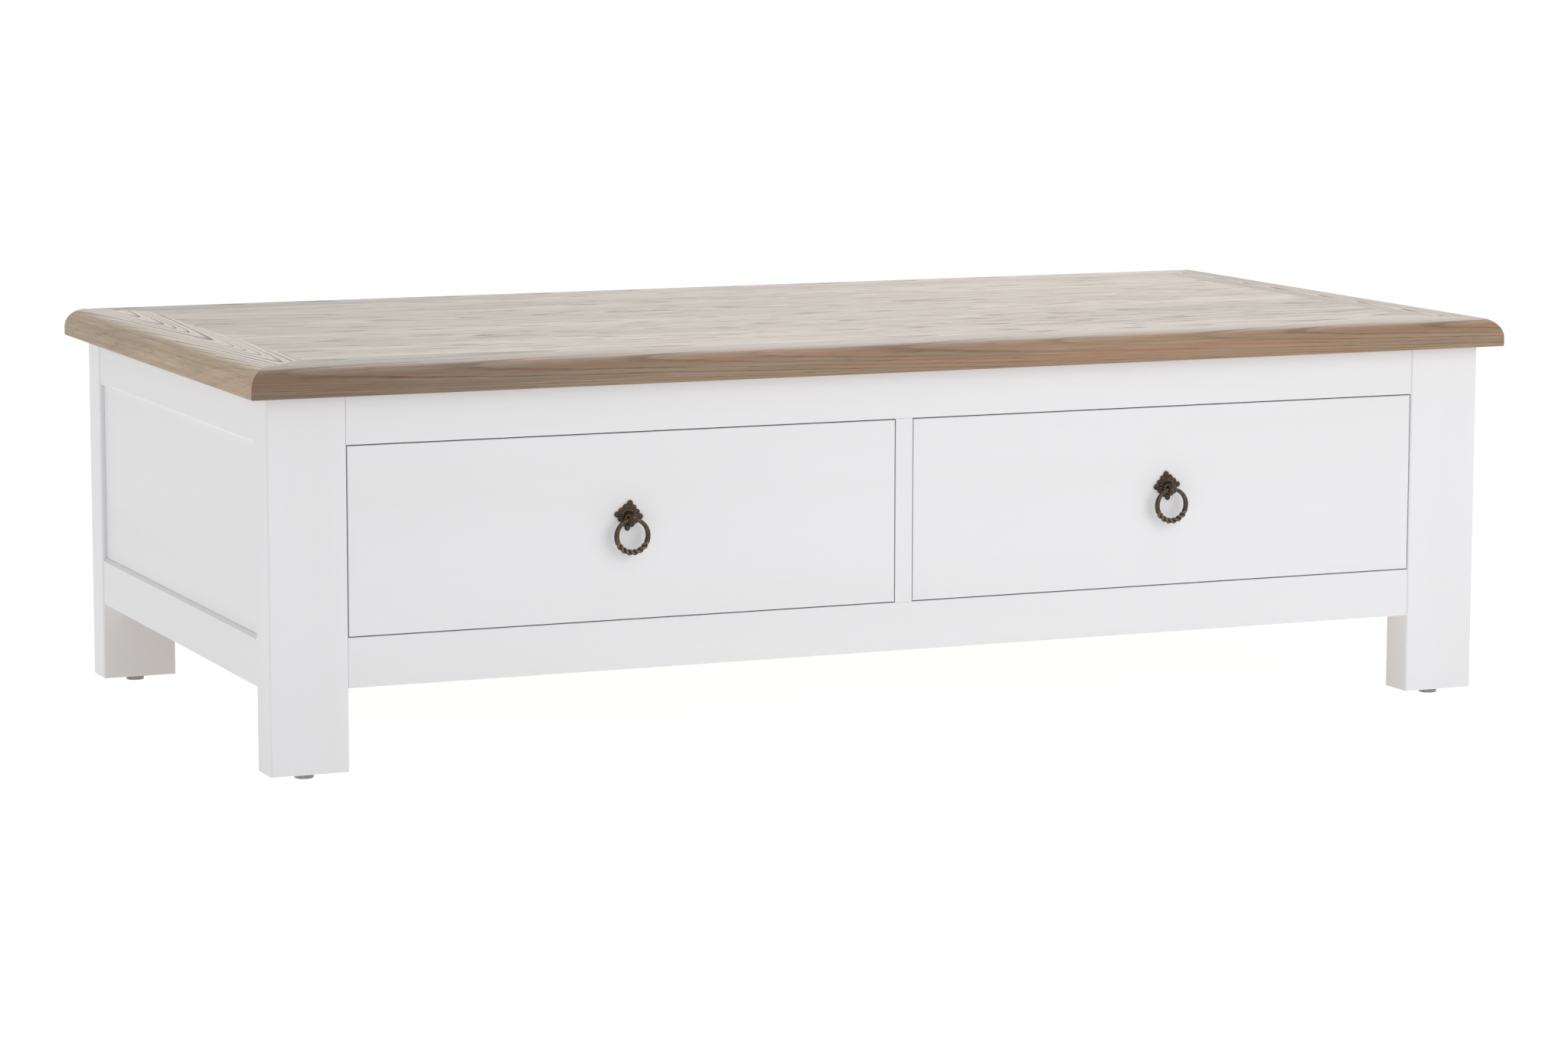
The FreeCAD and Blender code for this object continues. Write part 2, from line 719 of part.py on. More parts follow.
def case_nodes():
    """Legs, rails, panels, bearers, runners and blocks of the case."""
    nodes = {}
    for end_name, end in (("front", FRONT), ("back", BACK)):
        for side_name, side in SIDES:
            nodes[f"leg_{end_name}_{side_name}"] = leg(side, end)
            nodes[f"glide_{end_name}_{side_name}"] = glide(side, end)
        nodes[f"{end_name}_bottom_rail"] = long_rail(end, bottom_rail_z, tenon_spans[0])
        nodes[f"{end_name}_top_rail"] = long_rail(end, top_rail_z, tenon_spans[1])
    nodes["back_panel"] = back_panel()
    nodes["centre_partition"] = centre_partition()
    nodes["corner_blocks"] = corner_blocks()
    nodes["top_fixing_blocks"] = top_fixing_blocks()
    nodes["top_fixing_screws"] = top_fixing_screws()
    screws = []
    for side_name, side in SIDES:
        nodes[f"side_bottom_rail_{side_name}"] = side_rail(side, bottom_rail_z, tenon_spans[0])
        nodes[f"side_top_rail_{side_name}"] = side_rail(side, top_rail_z, tenon_spans[1])
        nodes[f"side_panel_{side_name}"] = side_panel(side)
        nodes[f"drawer_bearer_{side_name}"] = bearer(side)
        carriers = (("outer", side * leg_inner_x, -side), ("inner", side * partition_thickness / 2, side))
        for carrier_name, face_x, inward in carriers:
            nodes[f"runner_{side_name}_{carrier_name}"] = runner(face_x, inward)
            screws += runner_screws(face_x, inward, 0.0)
    nodes["runner_screws"] = Part.makeCompound(screws)
    return nodes


def top_nodes():
    """Border boards, splines and planks of the top."""
    nodes = {
        "top_border_front": long_border(FRONT),
        "top_border_back": long_border(BACK),
        "top_border_left": end_border(LEFT),
        "top_border_right": end_border(RIGHT),
        "mitre_splines": Part.makeCompound(mitre_splines(0.0)),
    }
    for number in range(plank_count):
        nodes[f"top_plank_{number + 1}"] = plank(number)
    return nodes


def drawer_nodes(name, side, plate_turn):
    """One drawer with its pull."""
    middle_x = side * opening_middle_x
    return {
        f"drawer_{name}_front": drawer_front(middle_x),
        f"drawer_{name}_side_left": drawer_side(middle_x, LEFT),
        f"drawer_{name}_side_right": drawer_side(middle_x, RIGHT),
        f"drawer_{name}_back": drawer_back(middle_x),
        f"drawer_{name}_bottom": drawer_bottom(middle_x),
        f"pull_{name}_plate": pull_plate(middle_x, plate_turn),
        f"pull_{name}_eye": pull_eye(middle_x),
        f"pull_{name}_nut": pull_nut(middle_x),
        f"pull_{name}_ring": pull_ring(middle_x),
    }


def main():
    """Build every node and write one STEP file for each."""
    nodes = case_nodes()
    nodes.update(top_nodes())
    nodes.update(drawer_nodes("left", LEFT, left_plate_turn))
    nodes.update(drawer_nodes("right", RIGHT, right_plate_turn))
    os.makedirs("parts", exist_ok=True)
    for name, shape in nodes.items():
        if not shape.isValid():
            raise ValueError(f"{name} is not a valid shape")
        shape.exportStep(f"parts/{name}.step")
    print(len(nodes), "nodes written")


main()
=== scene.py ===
"""Looks of a low coffee table with two drawers: oak top, white painted case, antique ring pulls."""
import logging
import math
from dataclasses import dataclass, replace
from enum import Enum
from typing import Union

import bpy
import numpy as np
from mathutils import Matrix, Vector


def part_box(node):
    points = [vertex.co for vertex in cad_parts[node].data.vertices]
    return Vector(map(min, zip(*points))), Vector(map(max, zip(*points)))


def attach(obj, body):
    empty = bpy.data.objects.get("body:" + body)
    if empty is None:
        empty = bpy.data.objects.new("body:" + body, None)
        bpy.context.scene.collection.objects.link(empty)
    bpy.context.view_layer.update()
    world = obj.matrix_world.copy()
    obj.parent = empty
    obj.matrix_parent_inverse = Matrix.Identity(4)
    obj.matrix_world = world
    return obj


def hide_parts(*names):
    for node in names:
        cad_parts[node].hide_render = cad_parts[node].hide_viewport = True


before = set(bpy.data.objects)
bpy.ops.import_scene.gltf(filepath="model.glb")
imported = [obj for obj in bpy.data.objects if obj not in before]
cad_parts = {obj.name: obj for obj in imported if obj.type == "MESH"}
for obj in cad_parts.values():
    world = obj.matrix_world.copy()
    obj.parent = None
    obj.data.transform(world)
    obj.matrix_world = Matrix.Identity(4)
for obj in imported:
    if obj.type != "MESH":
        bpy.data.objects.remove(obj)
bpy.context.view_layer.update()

log = logging.getLogger("coffee_table")

Rgb = tuple[float, float, float]
Point = tuple[float, float, float]
Span = tuple[float, float]
Socket = bpy.types.NodeSocket
Value = Union[float, tuple, Vector, Socket]

MM = 0.001
ORIGIN: Point = (0.0, 0.0, 0.0)


def srgb(red: int, green: int, blue: int) -> Rgb:
    """Turn a colour as a screen shows it into linear values.

    Args:
        red: Red from 0 to 255.
        green: Green from 0 to 255.
        blue: Blue from 0 to 255.

    Returns:
        The linear colour.
    """
    shares = np.array((red, green, blue)) / 255
    linear = np.where(shares <= 0.04045, shares / 12.92, ((shares + 0.055) / 1.055) ** 2.4)
    return tuple(float(value) for value in linear)


def eased(value: np.ndarray, low: float, high: float) -> np.ndarray:
    """Ease values from 0 to 1 between two limits.

    Args:
        value: The values.
        low: Limit below which the result is 0.
        high: Limit above which the result is 1.

    Returns:
        The eased values.
    """
    share = np.clip((value - low) / (high - low), 0.0, 1.0)
    return share * share * (3.0 - 2.0 * share)


class Grain(Enum):
    """Direction of a board's fibres, as the turn that lays them along local X."""

    ALONG = (0.0, 0.0, 0.0)
    ACROSS = (0.0, 0.0, -math.pi / 2)
    UPRIGHT = (0.0, math.pi / 2, 0.0)


class Side(Enum):
    """Left or right drawer, as seen from the front."""

    LEFT = "left"
    RIGHT = "right"


class Rubbing(Enum):
    """How a metal's patina is worn: evenly, or on the high places of its relief."""

    EVEN = "even"
    RELIEF = "relief"


@dataclass(frozen=True)
class Noise:
    """Pattern of a noise: cells in a metre, finer layers and their share, limits of its marks."""

    cells: Point
    detail: float = 2.0
    roughness: float = 0.5
    low: float = 0.0
    high: float = 1.0


class ShaderGraph:
    """Node tree of a material or a world, with short calls that add and link nodes."""

    def __init__(self, owner: Union[bpy.types.Material, bpy.types.World]) -> None:
        """Empty the owner's node tree.

        Args:
            owner: Material or world that the nodes belong to.
        """
        owner.use_nodes = True
        self.owner = owner
        self.tree = owner.node_tree
        self.tree.nodes.clear()

    def feed(self, socket: Socket, value: Value) -> None:
        """Link an output to an input, or set the input's own value.

        Args:
            socket: The input.
            value: An output, a number, a vector or a colour.
        """
        if isinstance(value, bpy.types.NodeSocket):
            self.tree.links.new(value, socket)
        elif socket.type == "RGBA" and not isinstance(value, float):
            socket.default_value = (*value[:3], 1.0)
        else:
            socket.default_value = value

    def add(self, kind: str, inputs: dict, **settings: object) -> bpy.types.Node:
        """Add a node.

        Args:
            kind: Type of the node.
            inputs: Values by the input's name or number.
            settings: Properties of the node.

        Returns:
            The node.
        """
        node = self.tree.nodes.new(kind)
        for key, value in settings.items():
            setattr(node, key, value)
        for key, value in inputs.items():
            self.feed(node.inputs[key], value)
        return node

    def math(self, operation: str, *operands: Value) -> Socket:
        """Work out a number.

        Args:
            operation: Name of the operation.
            operands: One, two or three numbers.

        Returns:
            The result.
        """
        return self.add("ShaderNodeMath", dict(enumerate(operands)), operation=operation).outputs[0]

    def vector(self, operation: str, first: Value, second: Value) -> Socket:
        """Work out a vector from two others.

        Args:
            operation: Name of the operation.
            first: First operand.
            second: Second operand.

        Returns:
            The result.
        """
        return self.add("ShaderNodeVectorMath", {0: first, 1: second}, operation=operation).outputs[0]

    def noise_node(self, place: Value, pattern: Noise) -> bpy.types.Node:
        """Add a noise texture.

        Args:
            place: Where the noise is read, in metres.
            pattern: Its pattern.

        Returns:
            The node: output 0 is a number, output 1 a colour.
        """
        stretched = self.vector("MULTIPLY", place, pattern.cells)
        inputs = {"Vector": stretched, "Scale": 1.0, "Detail": pattern.detail, "Roughness": pattern.roughness}
        return self.add("ShaderNodeTexNoise", inputs)

    def noise(self, place: Value, pattern: Noise) -> Socket:
        """Read a noise as a number from 0 to 1."""
        return self.noise_node(place, pattern).outputs[0]

    def wander(self, place: Value, pattern: Noise) -> Socket:
        """Read a noise as a vector whose parts lie about zero."""
        return self.vector("SUBTRACT", self.noise_node(place, pattern).outputs[1], (0.5, 0.5, 0.5))

    def ease(self, value: Value, low: float, high: float, bottom: float = 0.0, top: float = 1.0) -> Socket:
        """Ease a number from bottom to top between two limits.

        Args:
            value: The number.
            low: Limit below which the result is bottom.
            high: Limit above which the result is top.
            bottom: Result at the lower limit.
            top: Result at the upper limit.

        Returns:
            The eased number.
        """
        inputs = {"Value": value, "From Min": low, "From Max": high, "To Min": bottom, "To Max": top}
        return self.add("ShaderNodeMapRange", inputs, interpolation_type="SMOOTHSTEP").outputs[0]

    def marks(self, place: Value, pattern: Noise, bottom: float = 0.0, top: float = 1.0) -> Socket:
        """Read a noise as marks, eased from bottom to top between its limits."""
        return self.ease(self.noise(place, pattern), pattern.low, pattern.high, bottom, top)

    def varied(self, share: Value, middle: float, change: float) -> Socket:
        """Spread a number about its middle by a share from 0 to 1."""
        return self.math("MULTIPLY_ADD", share, change, middle - change / 2)

    def blend(self, share: Value, first: Value, second: Value, how: str = "MIX") -> Socket:
        """Blend two colours.

        Args:
            share: Share of the second colour.
            first: First colour.
            second: Second colour.
            how: Way of blending.

        Returns:
            The blended colour.
        """
        node = self.add("ShaderNodeMix", {}, data_type="RGBA", blend_type=how)
        self.feed(node.inputs[0], share)
        self.feed(node.inputs[6], first)
        self.feed(node.inputs[7], second)
        return node.outputs[2]

    def bump(self, height: Value, distance: float, strength: float = 1.0) -> Socket:
        """Turn heights into a bumped normal.

        Args:
            height: Height, where 1 stands out by the distance.
            distance: Depth of the relief in metres.
            strength: Share of the relief that shows.

        Returns:
            The normal.
        """
        inputs = {"Height": height, "Distance": distance, "Strength": strength}
        return self.add("ShaderNodeBump", inputs).outputs[0]

    def place(self) -> Socket:
        """Read the place on the piece, in metres in the table's frame."""
        return self.add("ShaderNodeTexCoord", {}).outputs["Object"]

    def board_place(self, centre: Point, grain: Grain) -> Socket:
        """Read the place on a board, from its centre and with the fibres along X.

        Args:
            centre: Middle of the board.
            grain: Direction of the fibres.

        Returns:
            The place, in metres.
        """
        centred = self.vector("SUBTRACT", self.place(), centre)
        return self.add("ShaderNodeMapping", {"Vector": centred, "Rotation": grain.value}).outputs[0]

    def seen_directly(self) -> Socket:
        """Tell what is seen, also in reflections and through glass, from light that bounces.

        Returns:
            1 for what is seen, 0 for bounced light.
        """
        rays = self.add("ShaderNodeLightPath", {}).outputs
        mirrored = self.math("MAXIMUM", rays["Is Glossy Ray"], rays["Is Transmission Ray"])
        return self.math("MAXIMUM", rays["Is Camera Ray"], mirrored)

    def surface(self, inputs: dict) -> bpy.types.Material:
        """Close a material with a principled surface.

        Args:
            inputs: Values of the surface by their names.

        Returns:
            The material.
        """
        shader = self.add("ShaderNodeBsdfPrincipled", inputs)
        self.add("ShaderNodeOutputMaterial", {"Surface": shader.outputs[0]})
        return self.owner


def new_graph(name: str) -> ShaderGraph:
    """Start the node tree of a new material."""
    return ShaderGraph(bpy.data.materials.new(name))


@dataclass(frozen=True)
class TimberTones:
    """Colours of a timber, from its pale wood to its pores."""

    pale: Rgb
    middle: Rgb
    warm: Rgb
    line: Rgb
    pore: Rgb


TAN_OAK = TimberTones(
    pale=srgb(177, 155, 124),
    middle=srgb(155, 132, 103),
    warm=srgb(158, 121, 89),
    line=srgb(108, 91, 72),
    pore=srgb(66, 54, 43),
)
BROWN_OAK = TimberTones(
    pale=srgb(157, 135, 109),
    middle=srgb(138, 116, 92),
    warm=srgb(158, 108, 76),
    line=srgb(92, 74, 56),
    pore=srgb(58, 46, 36),
)
PALE_PINE = TimberTones(
    pale=srgb(222, 197, 158),
    middle=srgb(212, 183, 142),
    warm=srgb(206, 168, 120),
    line=srgb(190, 150, 104),
    pore=srgb(160, 122, 82),
)
BIRCH_PLY = TimberTones(
    pale=srgb(220, 199, 166),
    middle=srgb(210, 187, 152),
    warm=srgb(204, 174, 132),
    line=srgb(196, 166, 126),
    pore=srgb(168, 134, 96),
)
BEECH = TimberTones(
    pale=srgb(204, 166, 128),
    middle=srgb(194, 154, 116),
    warm=srgb(186, 142, 104),
    line=srgb(174, 132, 96),
    pore=srgb(134, 94, 64),
)


@dataclass(frozen=True)
class WoodFigure:
    """Marks and relief that all boards share, with the fibres along X."""

    seed_step: Point = (3.7, 1.3, 2.1)
    bends: Noise = Noise((2.3, 8.0, 8.0))
    ripple: Noise = Noise((14.0, 70.0, 70.0))
    ripple_reach: Point = (0.0, 1 * MM, 0.5 * MM)
    growth_cells: float = 0.32
    growth_reach: float = 2.6
    crest_full: float = 0.9
    crest_fall: float = 0.95
    hairs_in_ring: float = 3.0
    hair_span: Span = (0.55, 0.95)
    hair_strength: float = 0.28
    fading: Noise = Noise((3.0, 26.0, 26.0), low=0.36, high=0.6)
    faded_line: float = 0.45
    fibre: Noise = Noise((6.0, 420.0, 420.0), 3.0, 0.6, low=0.3, high=0.7)
    fibre_height: float = 0.2
    fibre_gloss: float = 0.12
    pores: Noise = Noise((45.0, 1500.0, 1500.0), 1.0, low=0.55, high=0.68)
    stray_pores: float = 0.3
    pore_depth: float = 0.4
    streaks: Noise = Noise((18.0, 190.0, 190.0), low=0.57, high=0.68)
    streak_share: float = 0.6
    grain_depth: float = 0.6
    checks: Noise = Noise((13.0, 170.0, 170.0), low=0.67, high=0.73)
    strands: Noise = Noise((14.0, 420.0, 420.0), low=0.32, high=0.5)
    bands: Noise = Noise((1.8, 30.0, 30.0), 3.0, 0.62, low=0.3, high=0.7)
    band_tones: Span = (1.1, 0.88)
    warmth: Noise = Noise((2.2, 150.0, 150.0), 3.0, 0.6, low=0.4, high=0.64)
    drift: Noise = Noise((1.1, 10.0, 10.0), low=0.25, high=0.75)
    drift_tones: Span = (0.86, 1.08)
    upper_face: Span = (0.8, 0.99)


@dataclass(frozen=True)
class TimberFinish:
    """Sawn and finished board, with growth rings cut as from a log.

    The rings are slender cones round a pith line, so the faces and edges of a board agree.
    """

    name: str
    tones: TimberTones
    grain: Grain
    centre: Point = ORIGIN
    figure: WoodFigure = WoodFigure()
    seed: float = 0.0
    pith_across: float = 10 * MM
    pith_depth: float = 60 * MM
    taper: float = 0.02
    ring_spacing: float = 4 * MM
    line_width: float = 0.4
    line_strength: float = 0.6
    edge_line_strength: float = 0.4
    warm_strength: float = 0.4
    pore_strength: float = 0.5
    fleck_strength: float = 0.0
    # Paling of the upper face: partly a limed, whitened look, partly painted sheen and painted overhead
    # light.
    bleach_and_sheen_strength: float = 0.0
    bleach_and_sheen_colour: Rgb = srgb(224, 217, 209)
    sway: float = 8 * MM
    shade: float = 1.0
    left_end_shade: float = 1.0
    left_end_reach: float = 650 * MM
    relief_depth: float = 0.15 * MM
    roughness: float = 0.42
    dullness: float = 0.3
    ior: float = 1.5

    def material(self) -> bpy.types.Material:
        """Build the material of this board.

        Returns:
            The material.
        """
        graph = new_graph(self.name)
        figure = self.figure
        board = graph.board_place(self.centre, self.grain)
        wood = graph.vector("ADD", board, tuple(self.seed * step for step in figure.seed_step))
        line = self.ring_lines(graph, board, wood)
        fibre = graph.noise(wood, figure.fibre)
        along_lines = graph.math("MULTIPLY_ADD", line, 1.0 - figure.stray_pores, figure.stray_pores)
        pore = graph.math("MULTIPLY", graph.marks(wood, figure.pores), along_lines)
        streak_strength = figure.streak_share * self.fleck_strength
        streak = graph.math("MULTIPLY", graph.marks(wood, figure.streaks), streak_strength)
        fleck = self.flecks(graph, wood)
        upper_face = self.upper_face(graph)
        showing = graph.ease(upper_face, 0.0, 1.0, self.edge_line_strength, self.line_strength)
        open_grain = graph.math("MAXIMUM", graph.math("MULTIPLY", line, showing), streak)

        fine = graph.ease(fibre, figure.fibre.low, figure.fibre.high)
        colour = graph.blend(fine, self.tones.pale, self.tones.middle)
        colour = graph.blend(1.0, colour, graph.marks(wood, figure.bands, *figure.band_tones), "MULTIPLY")
        warmth = graph.marks(wood, figure.warmth, 0.0, self.warm_strength)
        colour = graph.blend(warmth, colour, self.tones.warm)
        # Painted sheen: the upper face is blended towards a pale colour. This is partly a limed look, partly
        # the white surroundings reflected at a low angle and the strong overhead light.
        colour = graph.blend(graph.math("MULTIPLY", upper_face, self.bleach_and_sheen_strength), colour, self.bleach_and_sheen_colour)
        colour = graph.blend(open_grain, colour, self.tones.line)
        colour = graph.blend(graph.math("MULTIPLY", pore, self.pore_strength), colour, self.tones.pore)
        colour = graph.blend(fleck, colour, self.tones.pore)
        tones = [tone * self.shade for tone in figure.drift_tones]
        colour = graph.blend(1.0, colour, graph.marks(wood, figure.drift, *tones), "MULTIPLY")
        if self.left_end_shade < 1.0:
            run = graph.add("ShaderNodeSeparateXYZ", {0: board}).outputs[0]
            dusk = graph.ease(run, -self.left_end_reach, 0.0, self.left_end_shade, 1.0)
            colour = graph.blend(1.0, colour, dusk, "MULTIPLY")

        height = graph.math("MULTIPLY", fibre, figure.fibre_height)
        height = graph.math("MULTIPLY_ADD", pore, -figure.pore_depth, height)
        height = graph.math("MULTIPLY_ADD", open_grain, -figure.grain_depth, height)
        height = graph.math("SUBTRACT", height, fleck)
        dull = graph.math("MAXIMUM", graph.math("MAXIMUM", open_grain, fleck), pore)
        rough = graph.varied(fibre, self.roughness, figure.fibre_gloss)
        return graph.surface({
            "Base Color": colour,
            "Roughness": graph.math("MULTIPLY_ADD", dull, self.dullness, rough),
            "IOR": self.ior,
            "Normal": graph.bump(height, self.relief_depth),
        })

    def ring_lines(self, graph: ShaderGraph, board: Socket, wood: Socket) -> Socket:
        """Draw the growth rings as lines that fade in and out, with hair lines between them.

        Args:
            graph: Material that the nodes go into.
            board: Place on the board, with the fibres along X.
            wood: The same place, moved so that boards differ.

        Returns:
            Share of line.
        """
        figure = self.figure
        sway = graph.vector("MULTIPLY", graph.wander(wood, figure.bends), (0.0, 2.0 * self.sway, self.sway))
        ripple = graph.vector("MULTIPLY", graph.wander(wood, figure.ripple), figure.ripple_reach)
        warped = graph.vector("ADD", board, graph.vector("ADD", sway, ripple))
        axes = graph.add("ShaderNodeSeparateXYZ", {0: warped}).outputs
        across = graph.math("SUBTRACT", axes[1], self.pith_across)
        above = graph.math("ADD", axes[2], self.pith_depth)
        squared = graph.math("MULTIPLY_ADD", across, across, graph.math("MULTIPLY", above, above))
        radius = graph.math("MULTIPLY_ADD", axes[0], self.taper, graph.math("SQRT", squared))
        years = graph.add("ShaderNodeCombineXYZ", {0: radius, 1: self.seed}).outputs[0]
        growth = graph.noise(years, Noise((figure.growth_cells / self.ring_spacing, 1.0, 1.0), 1.0))
        spread = graph.math("MULTIPLY_ADD", growth, figure.growth_reach * self.ring_spacing, radius)
        ring = graph.math("FRACT", graph.math("DIVIDE", spread, self.ring_spacing))

        rise = graph.ease(ring, 1.0 - self.line_width, figure.crest_full)
        crest = graph.math("MULTIPLY", rise, graph.ease(ring, 1.0, figure.crest_fall))
        hairs = graph.math("FRACT", graph.math("MULTIPLY", ring, figure.hairs_in_ring))
        hair = graph.ease(hairs, *figure.hair_span, 0.0, figure.hair_strength)
        strokes = graph.math("MAXIMUM", crest, hair)
        return graph.math("MULTIPLY", strokes, graph.marks(wood, figure.fading, figure.faded_line, 1.0))

    def upper_face(self, graph: ShaderGraph) -> Socket:
        """Tell the upper face, which is painted paler as a limed look and painted sheen, from the edges and
        the underside.

        Args:
            graph: Material that the nodes go into.

        Returns:
            1 on the upper face, 0 elsewhere.
        """
        normal = graph.add("ShaderNodeNewGeometry", {}).outputs["Normal"]
        upward = graph.add("ShaderNodeSeparateXYZ", {0: normal}).outputs[2]
        return graph.ease(upward, *self.figure.upper_face)

    def flecks(self, graph: ShaderGraph, wood: Socket) -> Socket:
        """Scatter short dark checks along the fibres."""
        cluster = graph.marks(wood, self.figure.checks, 0.0, self.fleck_strength)
        return graph.math("MULTIPLY", cluster, graph.marks(wood, self.figure.strands))


@dataclass(frozen=True)
class PaintFinish:
    """Satin paint over wood, with faint brush marks along the board."""

    name: str
    grain: Grain
    colour: Rgb = (0.80, 0.80, 0.815)
    hollow: Rgb = (0.778, 0.776, 0.788)
    hollow_span: Span = (0.38, 0.72)
    roughness: float = 0.42
    roughness_change: float = 0.14
    brush: Noise = Noise((5.0, 380.0, 380.0), 3.0, 0.6)
    brush_share: float = 0.15
    brush_depth: float = 0.03 * MM
    brush_strength: float = 0.2
    pull: Noise = Noise((1.2, 14.0, 14.0))
    stipple: Noise = Noise((900.0,) * 3, 1.0)
    stipple_height: float = 0.3

    def material(self) -> bpy.types.Material:
        """Build the paint.

        Returns:
            The material.
        """
        graph = new_graph(self.name)
        board = graph.board_place(ORIGIN, self.grain)
        brush = graph.noise(board, self.brush)
        pull = graph.noise(board, self.pull)
        broad = graph.math("MULTIPLY", pull, 1.0 - self.brush_share)
        thin = graph.math("MULTIPLY_ADD", brush, self.brush_share, broad)
        height = graph.math("MULTIPLY_ADD", graph.noise(board, self.stipple), self.stipple_height, brush)
        return graph.surface({
            "Base Color": graph.blend(graph.ease(thin, *self.hollow_span), self.colour, self.hollow),
            "Roughness": graph.varied(pull, self.roughness, self.roughness_change),
            "Normal": graph.bump(height, self.brush_depth, self.brush_strength),
        })


@dataclass(frozen=True)
class BronzeFinish:
    """Cast metal under a dark brown patina that is rubbed thin on the high places."""

    name: str
    rubbing: Rubbing
    rubbed: Rgb = srgb(104, 91, 75)
    rubbed_span: Span = (0.5, 0.85)
    patina: Rgb = srgb(62, 52, 43)
    patina_span: Span = (0.18, 0.5)
    cavity: Rgb = srgb(25, 20, 17)
    cavity_roughness: float = 0.42
    polish: float = 0.2
    polish_span: Span = (0.2, 0.8)
    metallic: float = 0.92
    cloud: Noise = Noise((420.0,) * 3, 3.0, 0.6)
    cloud_wear: float = 0.45
    even_height: float = 0.42
    even_change: float = 0.3
    grit: Noise = Noise((2600.0,) * 3)
    grit_roughness: float = 0.1
    grit_depth: float = 0.05 * MM
    grit_strength: float = 0.6

    def material(self) -> bpy.types.Material:
        """Build the metal.

        Returns:
            The material.
        """
        graph = new_graph(self.name)
        place = graph.place()
        cloud = graph.noise(place, self.cloud)
        grit = graph.noise(place, self.grit)
        if self.rubbing is Rubbing.RELIEF:
            height = graph.add("ShaderNodeAttribute", {}, attribute_name=Rubbing.RELIEF.value).outputs["Fac"]
        else:
            height = graph.math("MULTIPLY_ADD", cloud, self.even_change, self.even_height)
        worn = graph.math("MULTIPLY_ADD", graph.math("SUBTRACT", cloud, 0.5), self.cloud_wear, height)
        colour = graph.blend(graph.ease(worn, *self.patina_span), self.cavity, self.patina)
        polished = graph.ease(worn, *self.polish_span)
        rough = graph.math("MULTIPLY_ADD", polished, -self.polish, self.cavity_roughness)
        return graph.surface({
            "Base Color": graph.blend(graph.ease(worn, *self.rubbed_span), colour, self.rubbed),
            "Metallic": self.metallic,
            "Roughness": graph.math("MULTIPLY_ADD", grit, self.grit_roughness, rough),
            "Normal": graph.bump(grit, self.grit_depth, self.grit_strength),
        })


@dataclass(frozen=True)
class SpottedFinish:
    """Plain metal or plastic with uneven spots and a fine texture."""

    name: str
    colour: Rgb
    spotted: Rgb
    metallic: float
    roughness: float
    spots: Noise
    texture: Noise
    texture_depth: float
    texture_strength: float = 0.5
    roughness_change: float = 0.2

    def material(self) -> bpy.types.Material:
        """Build the metal or plastic.

        Returns:
            The material.
        """
        graph = new_graph(self.name)
        place = graph.place()
        spots = graph.noise(place, self.spots)
        stain = graph.ease(spots, self.spots.low, self.spots.high)
        return graph.surface({
            "Base Color": graph.blend(stain, self.colour, self.spotted),
            "Metallic": self.metallic,
            "Roughness": graph.varied(spots, self.roughness, self.roughness_change),
            "Normal": graph.bump(graph.noise(place, self.texture), self.texture_depth, self.texture_strength),
        })


SPANGLE = Noise((700.0,) * 3, 3.0, 0.65, low=0.35, high=0.7)
ZINC_STEEL = SpottedFinish(
    name="zinc_steel",
    colour=srgb(176, 174, 166),
    spotted=srgb(132, 128, 116),
    metallic=1.0,
    roughness=0.34,
    spots=SPANGLE,
    texture=SPANGLE,
    texture_depth=0.03 * MM,
)
GLIDE_PLASTIC = SpottedFinish(
    name="glide_plastic",
    colour=srgb(150, 149, 142),
    spotted=srgb(122, 120, 112),
    metallic=0.0,
    roughness=0.55,
    spots=Noise((260.0,) * 3, 3.0, 0.6, low=0.4, high=0.7),
    texture=Noise((2200.0,) * 3, 1.0),
    texture_depth=0.04 * MM,
)
BARE_BEECH = TimberFinish(
    name="bare_hardwood",
    tones=BEECH,
    grain=Grain.ACROSS,
    ring_spacing=2.5 * MM,
    line_strength=0.35,
    warm_strength=0.3,
    pore_strength=0.4,
    relief_depth=0.06 * MM,
    roughness=0.6,
)


@dataclass(frozen=True)
class FloorFinish:
    """Pale studio floor: white to the eye, with a light shadow under the table."""

    name: str
    glow: float = 0.88
    shadow_share: float = 0.4
    bounce: float = 0.7
    bounce_glow: float = 0.53

    def material(self) -> bpy.types.Material:
        """Build the floor's surface.

        Returns:
            The material.
        """
        graph = new_graph(self.name)
        white = graph.add("ShaderNodeEmission", {"Strength": self.glow}).outputs[0]
        shadow = graph.add("ShaderNodeBsdfDiffuse", {"Color": (self.shadow_share,) * 3}).outputs[0]
        shown = graph.add("ShaderNodeAddShader", {0: white, 1: shadow}).outputs[0]
        matt = graph.add("ShaderNodeBsdfDiffuse", {"Color": (self.bounce,) * 3}).outputs[0]
        lit = graph.add("ShaderNodeEmission", {"Strength": self.bounce_glow}).outputs[0]
        bounced = graph.add("ShaderNodeAddShader", {0: matt, 1: lit}).outputs[0]
        mixed = graph.add("ShaderNodeMixShader", {0: graph.seen_directly(), 1: bounced, 2: shown}).outputs[0]
        graph.add("ShaderNodeOutputMaterial", {"Surface": mixed})
        return graph.owner


def dress(node: str, material: bpy.types.Material) -> None:
    """Give a carried-over node its finish.

    Args:
        node: Name of the node.
        material: The finish.
    """
    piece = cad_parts[node]
    if not piece.material_slots:
        piece.data.materials.append(material)
    for slot in piece.material_slots:
        slot.material = material
    log.info("dressed %s in %s", node, material.name)


def middle_of(node: str) -> Point:
    """Find the middle of a node at rest."""
    low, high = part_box(node)
    return tuple((low + high) / 2)


